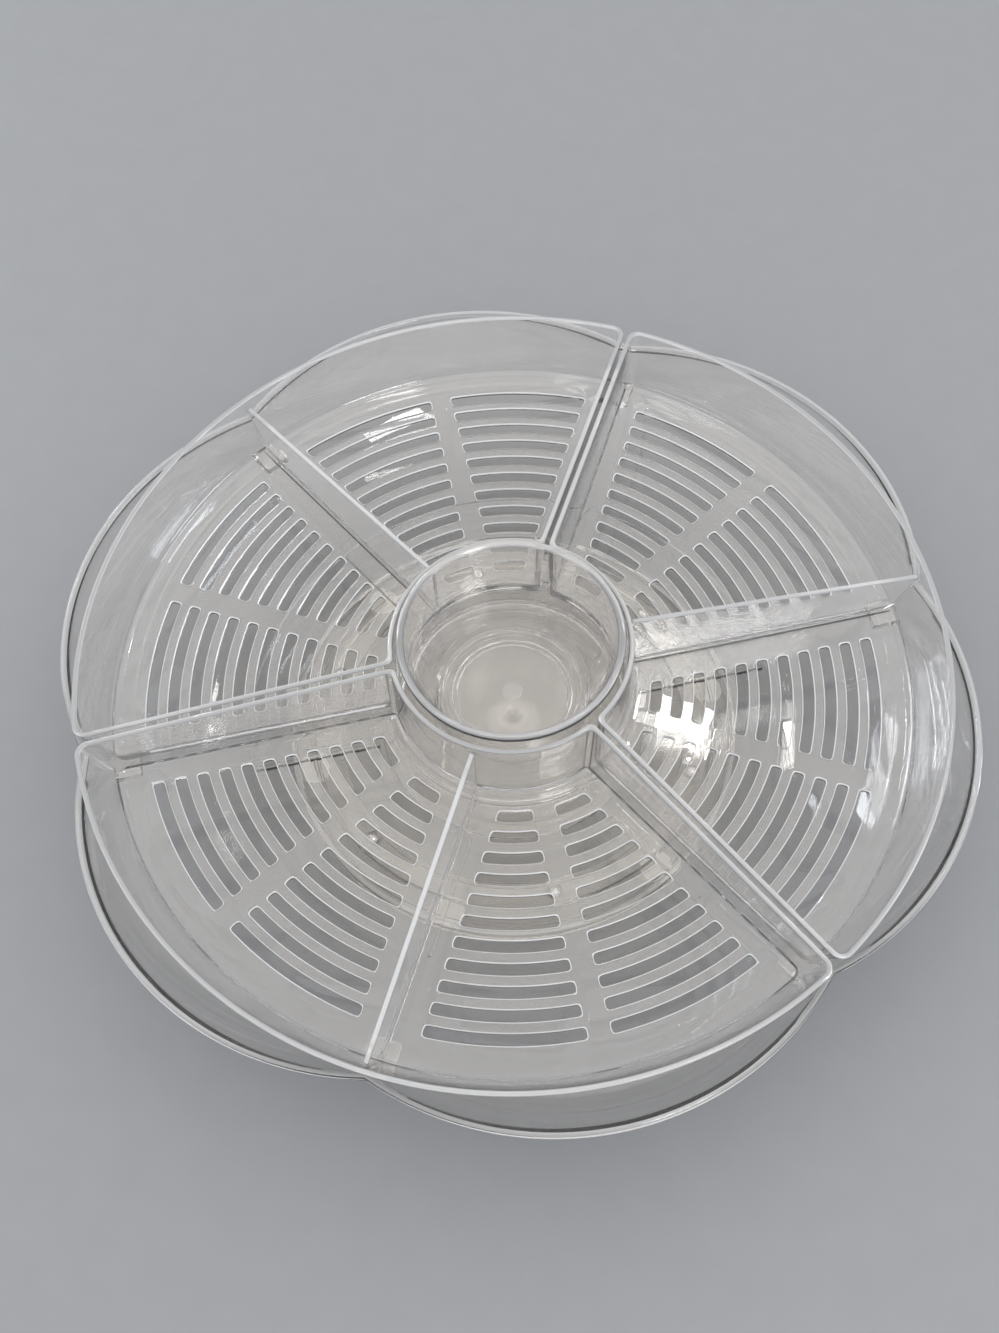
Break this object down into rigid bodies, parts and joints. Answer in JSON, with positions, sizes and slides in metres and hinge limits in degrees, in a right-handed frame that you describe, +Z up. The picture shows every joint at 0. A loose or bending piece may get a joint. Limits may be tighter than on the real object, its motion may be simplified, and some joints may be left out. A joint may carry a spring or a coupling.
{
  "type": "lazy susan turntable",
  "caption": "Clear lobed ice bowl turning on a ball-race stand, carrying vented wedge trays with lift-out dividers round a tapered dip cup.",
  "frame": {"origin": "on the table, on the axis of the turntable, under the middle of the object's box", "axes": "+Z up along the axis of the turntable, +X through a peak of the bowl's lip, and the gap between the right and left trays towards +Y"},
  "size_m": [0.409, 0.3888, 0.092],
  "materials": {
    "clear_stand": "clear, polished",
    "clear_bowl": "clear, polished",
    "clear_tray": "clear, polished, with a faint bluish edge",
    "clear_divider": "clear, polished, with a faint bluish edge",
    "clear_cup": "clear, polished",
    "steel": "bright",
    "clear_pivot": "clear, as moulded",
    "soft_pad": "clear silicone, matt"
  },
  "bodies": {
    "stand": {"foot_ring": "clear_stand", "foot_pad_1": "soft_pad", "foot_pad_2": "soft_pad", "foot_pad_3": "soft_pad", "foot_pad_4": "soft_pad", "foot_pad_5": "soft_pad", "foot_pad_6": "soft_pad", "pivot_screw": "clear_pivot", "pivot_nut": "clear_pivot", "upper_washer": "clear_pivot", "thrust_washer": "clear_pivot"},
    "race": {"ball_cage": "clear_pivot", "ball_1": "steel", "ball_2": "steel", "ball_3": "steel", "ball_4": "steel", "ball_5": "steel", "ball_6": "steel"},
    "bowl": {"ice_bowl": "clear_bowl", "center_pedestal": "clear_bowl"},
    "front_tray": {"tray_front": "clear_tray"},
    "right_tray": {"tray_right": "clear_tray"},
    "left_tray": {"tray_left": "clear_tray"},
    "front_divider": {"divider_front": "clear_divider"},
    "right_divider": {"divider_right": "clear_divider"},
    "left_divider": {"divider_left": "clear_divider"},
    "cup": {"dip_cup": "clear_cup"}
  },
  "joints": [
    {"name": "turntable_spin", "type": "hinge", "parent": "stand", "child": "bowl", "pos_m": [0, 0, 0.0124], "axis": [0, 0, 1], "continuous": true},
    {"name": "race_spin", "type": "hinge", "parent": "stand", "child": "race", "pos_m": [0, 0, 0.0078], "axis": [0, 0, 1], "continuous": true},
    {"name": "front_tray_lift", "type": "slide", "parent": "bowl", "child": "front_tray", "axis": [0, 0, 1], "range_m": [0, 0.1]},
    {"name": "right_tray_lift", "type": "slide", "parent": "bowl", "child": "right_tray", "axis": [0, 0, 1], "range_m": [0, 0.1]},
    {"name": "left_tray_lift", "type": "slide", "parent": "bowl", "child": "left_tray", "axis": [0, 0, 1], "range_m": [0, 0.1]},
    {"name": "front_divider_lift", "type": "slide", "parent": "front_tray", "child": "front_divider", "axis": [0, 0, 1], "range_m": [0, 0.06]},
    {"name": "right_divider_lift", "type": "slide", "parent": "right_tray", "child": "right_divider", "axis": [0, 0, 1], "range_m": [0, 0.06]},
    {"name": "left_divider_lift", "type": "slide", "parent": "left_tray", "child": "left_divider", "axis": [0, 0, 1], "range_m": [0, 0.06]},
    {"name": "cup_lift", "type": "slide", "parent": "bowl", "child": "cup", "axis": [0, 0, 1], "range_m": [0, 0.08]}
  ],
  "couplings": [
    {"joint": "race_spin", "follows": "turntable_spin", "ratio": 0.5}
  ]
}
